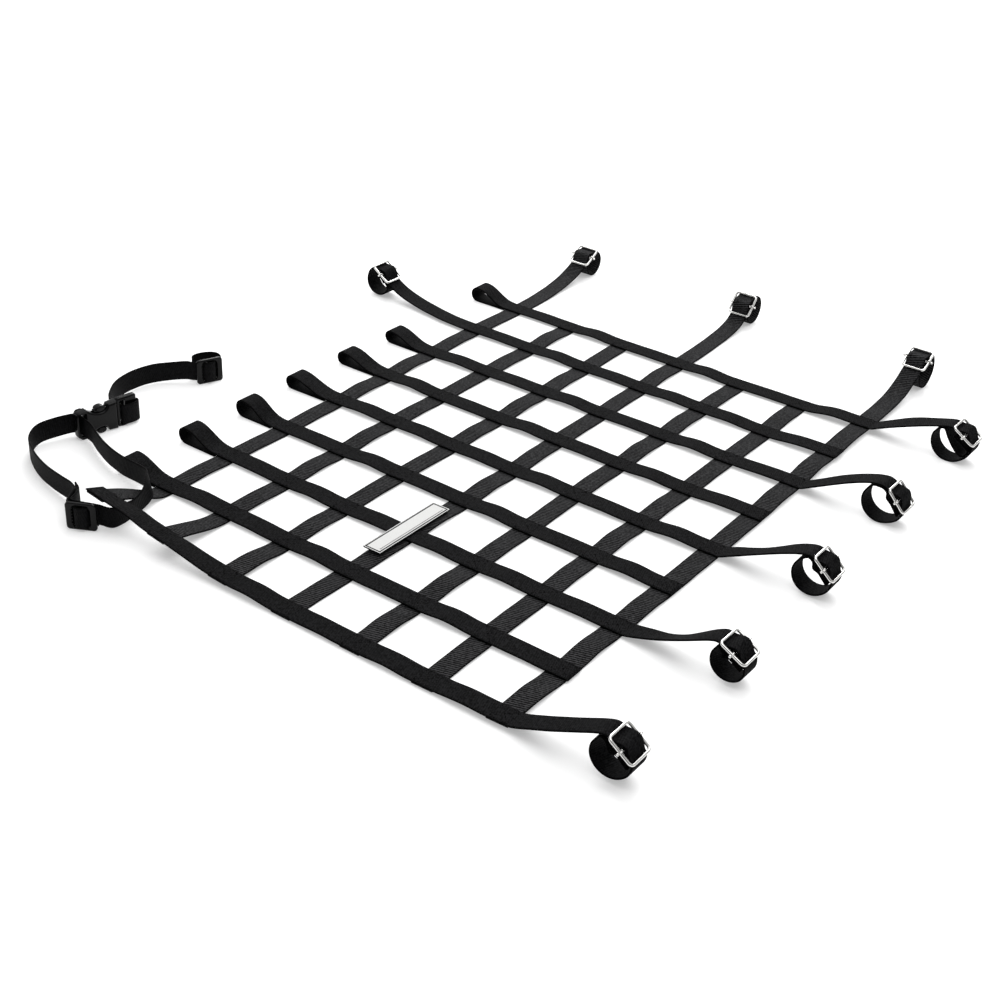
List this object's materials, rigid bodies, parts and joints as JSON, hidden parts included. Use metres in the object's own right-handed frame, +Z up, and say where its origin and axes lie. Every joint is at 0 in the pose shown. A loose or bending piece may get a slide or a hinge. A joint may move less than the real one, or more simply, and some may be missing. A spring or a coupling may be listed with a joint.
{
  "type": "webbing window net",
  "caption": "Flat black webbing safety net with sewn loops along one edge, adjustable ring ends on two edges and a buckled side strap.",
  "frame": {"origin": "on the surface the net lies on, under the crossing of the middle long strap and the middle cross strap", "axes": "+X along the long straps towards their adjustable ring ends, +Y along the cross straps towards their adjustable ring ends, +Z up out of the surface"},
  "size_m": [0.7061, 0.7848, 0.0407],
  "materials": {
    "long_webbing": "matt",
    "cross_webbing": "matt",
    "side_webbing": "matt",
    "nickel_wire": "polished",
    "black_plastic": "satin",
    "label_cloth": "matt"
  },
  "bodies": {
    "root": {"long_strap_1": "long_webbing", "long_strap_2": "long_webbing", "long_strap_3": "long_webbing", "long_strap_4": "long_webbing", "long_strap_5": "long_webbing", "long_strap_6": "long_webbing", "long_strap_7": "long_webbing", "long_strap_8": "long_webbing", "long_strap_9": "long_webbing", "cross_strap_1": "cross_webbing", "cross_strap_2": "cross_webbing", "cross_strap_3": "cross_webbing", "cross_strap_4": "cross_webbing", "cross_strap_5": "cross_webbing", "cross_strap_6": "cross_webbing", "cross_strap_7": "cross_webbing", "slide_frame_long_1": "nickel_wire", "slide_bar_long_1": "nickel_wire", "slide_frame_long_3": "nickel_wire", "slide_bar_long_3": "nickel_wire", "slide_frame_long_5": "nickel_wire", "slide_bar_long_5": "nickel_wire", "slide_frame_long_7": "nickel_wire", "slide_bar_long_7": "nickel_wire", "slide_frame_long_9": "nickel_wire", "slide_bar_long_9": "nickel_wire", "slide_frame_long_8": "nickel_wire", "slide_bar_long_8": "nickel_wire", "slide_frame_cross_1": "nickel_wire", "slide_bar_cross_1": "nickel_wire", "slide_frame_cross_4": "nickel_wire", "slide_bar_cross_4": "nickel_wire", "slide_frame_cross_7": "nickel_wire", "slide_bar_cross_7": "nickel_wire", "strap_glide_front": "black_plastic", "strap_glide_back": "black_plastic", "release_socket": "black_plastic", "release_plug": "black_plastic", "ring_strap": "side_webbing", "upper_strap": "side_webbing", "label_patch": "label_cloth"}
  },
  "joints": []
}
